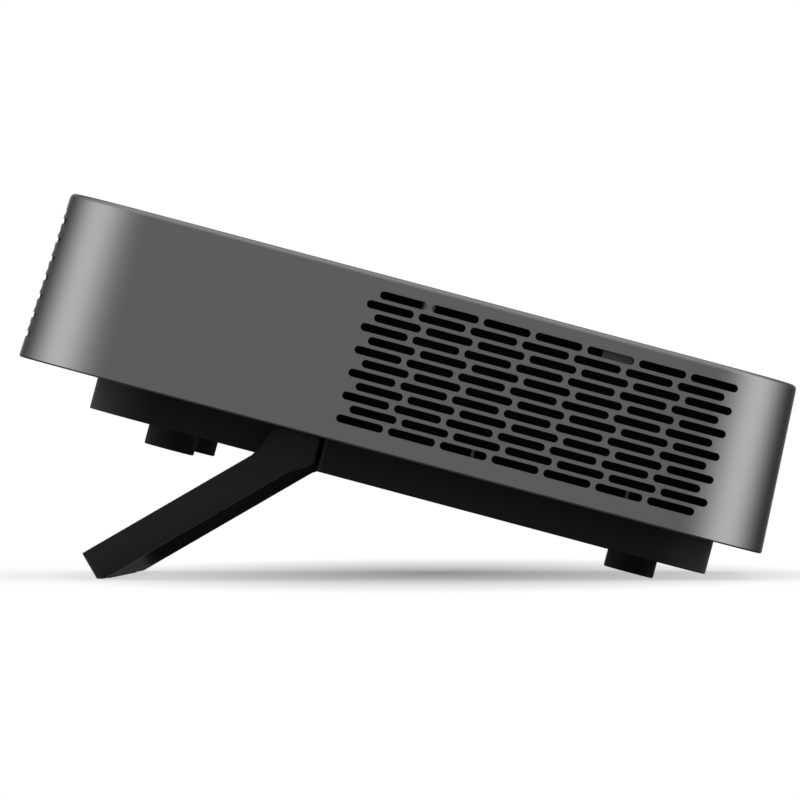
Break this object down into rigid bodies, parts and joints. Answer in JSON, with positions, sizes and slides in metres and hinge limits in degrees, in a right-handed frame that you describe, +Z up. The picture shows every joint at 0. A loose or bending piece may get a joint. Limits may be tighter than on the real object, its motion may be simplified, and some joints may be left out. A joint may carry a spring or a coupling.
{
  "type": "portable projector",
  "caption": "Square portable LED projector with a slotted dark metal band, a folding U-shaped kick stand, rubber feet, top keys, a lens panel and rear sockets.",
  "frame": {"origin": "on the floor under the middle of the outer box, the projector leaning back on its opened stand", "axes": "+X from the raised lens end to the rear with the sockets, +Y from the near side to the far side, +Z up"},
  "size_m": [0.2266, 0.224, 0.1125],
  "materials": {
    "band_metal": "brushed and dark anodised, faint lines along its length",
    "cover_plastic": "fine satin texture",
    "panel_plastic": "fine satin texture",
    "base_plastic": "fine moulded texture",
    "stand_plastic": "smooth satin",
    "rubber": "matte moulded rubber",
    "gloss_panel": "polished black",
    "lens_glass": "coated glass",
    "steel": "plain steel",
    "socket_steel": "stamped nickel-plated shell",
    "socket_plastic": "moulded plastic",
    "brass": "turned brass",
    "aluminium": "cast and machined",
    "copper": "bare copper",
    "circuit_board": "green solder mask",
    "white_plastic": "moulded acetal",
    "cone": "pressed paper cone",
    "inner_plastic": "moulded plastic"
  },
  "bodies": {
    "root": {"band_shell": "band_metal", "top_cover": "cover_plastic", "key_board": "circuit_board", "rear_port_panel": "panel_plastic", "base_shell": "base_plastic", "foot_front_near": "rubber", "foot_front_far": "rubber", "foot_rear_near": "rubber", "foot_rear_far": "rubber", "case_screw_front_near": "steel", "case_screw_front_far": "steel", "case_screw_rear_near": "steel", "case_screw_rear_far": "steel", "tripod_insert": "brass", "hinge_pin_near": "steel", "hinge_pin_far": "steel", "lens_panel": "gloss_panel", "lens_window": "lens_glass", "sensor_window": "gloss_panel", "lens_barrel": "inner_plastic", "rear_lens": "lens_glass", "focus_motor": "steel", "light_engine_housing": "aluminium", "red_led_module": "copper", "green_led_module": "copper", "blue_led_module": "copper", "imager_board": "circuit_board", "led_heatsink": "aluminium", "heat_pipe": "copper", "exhaust_fan_frame": "inner_plastic", "intake_fan_frame": "inner_plastic", "exhaust_dust_screen": "inner_plastic", "intake_dust_screen": "inner_plastic", "speaker_box_near": "inner_plastic", "speaker_cone_near": "cone", "speaker_box_middle": "inner_plastic", "speaker_cone_middle": "cone", "main_board": "circuit_board", "hdmi_socket": "socket_steel", "usb_a_socket": "socket_steel", "usb_c_socket": "socket_steel", "card_slot": "socket_steel", "audio_socket": "socket_plastic", "dc_inlet": "socket_plastic"},
    "stand": {"stand_frame": "stand_plastic", "stand_grip_pad": "rubber"},
    "exhaust_rotor": {"exhaust_fan_rotor": "inner_plastic"},
    "intake_rotor": {"intake_fan_rotor": "inner_plastic"},
    "focus_ring": {"focus_gear_ring": "white_plastic"},
    "focus_pinion": {"focus_pinion": "brass"},
    "focus_cell": {"focus_cell": "aluminium", "front_lens": "lens_glass"},
    "power_button": {"power_button": "cover_plastic"},
    "back_button": {"back_button": "cover_plastic"},
    "up_button": {"up_button": "cover_plastic"},
    "down_button": {"down_button": "cover_plastic"},
    "left_button": {"left_button": "cover_plastic"},
    "right_button": {"right_button": "cover_plastic"},
    "ok_button": {"ok_button": "cover_plastic"}
  },
  "joints": [
    {"name": "stand_fold", "type": "hinge", "parent": "root", "child": "stand", "pos_m": [-0.03164, 0, 0.03834], "axis": [0, 1, 0], "range_deg": [-45, 45]},
    {"name": "power_press", "type": "slide", "parent": "root", "child": "power_button", "axis": [-0.2575, 0, -0.9663], "range_m": [0, 0.0005], "stiffness_N_per_m": 800, "springref_m": -0.0005},
    {"name": "back_press", "type": "slide", "parent": "root", "child": "back_button", "axis": [-0.2575, 0, -0.9663], "range_m": [0, 0.0005], "stiffness_N_per_m": 800, "springref_m": -0.0005},
    {"name": "up_press", "type": "slide", "parent": "root", "child": "up_button", "axis": [-0.2575, 0, -0.9663], "range_m": [0, 0.0005], "stiffness_N_per_m": 800, "springref_m": -0.0005},
    {"name": "down_press", "type": "slide", "parent": "root", "child": "down_button", "axis": [-0.2575, 0, -0.9663], "range_m": [0, 0.0005], "stiffness_N_per_m": 800, "springref_m": -0.0005},
    {"name": "left_press", "type": "slide", "parent": "root", "child": "left_button", "axis": [-0.2575, 0, -0.9663], "range_m": [0, 0.0005], "stiffness_N_per_m": 800, "springref_m": -0.0005},
    {"name": "right_press", "type": "slide", "parent": "root", "child": "right_button", "axis": [-0.2575, 0, -0.9663], "range_m": [0, 0.0005], "stiffness_N_per_m": 800, "springref_m": -0.0005},
    {"name": "ok_press", "type": "slide", "parent": "root", "child": "ok_button", "axis": [-0.2575, 0, -0.9663], "range_m": [0, 0.0005], "stiffness_N_per_m": 800, "springref_m": -0.0005},
    {"name": "exhaust_fan_spin", "type": "hinge", "parent": "root", "child": "exhaust_rotor", "pos_m": [0.04614, -0.0923, 0.04596], "axis": [0, 1, 0], "continuous": true},
    {"name": "intake_fan_spin", "type": "hinge", "parent": "root", "child": "intake_rotor", "pos_m": [0.04614, 0.0923, 0.04596], "axis": [0, 1, 0], "continuous": true},
    {"name": "focus_turn", "type": "hinge", "parent": "root", "child": "focus_ring", "pos_m": [-0.06945, 0.051, 0.07822], "axis": [0.9663, 0, -0.2575], "range_deg": [-31, 31]},
    {"name": "pinion_turn", "type": "hinge", "parent": "root", "child": "focus_pinion", "pos_m": [-0.06945, 0.0221, 0.07822], "axis": [0.9663, 0, -0.2575], "range_deg": [-155, 155]},
    {"name": "focus_slide", "type": "slide", "parent": "root", "child": "focus_cell", "axis": [0.9663, 0, -0.2575], "range_m": [-0.00126, 0.00126]}
  ],
  "couplings": [
    {"joint": "focus_turn", "follows": "focus_slide", "rad_per_m": 416.67},
    {"joint": "pinion_turn", "follows": "focus_slide", "rad_per_m": -2083.3}
  ]
}
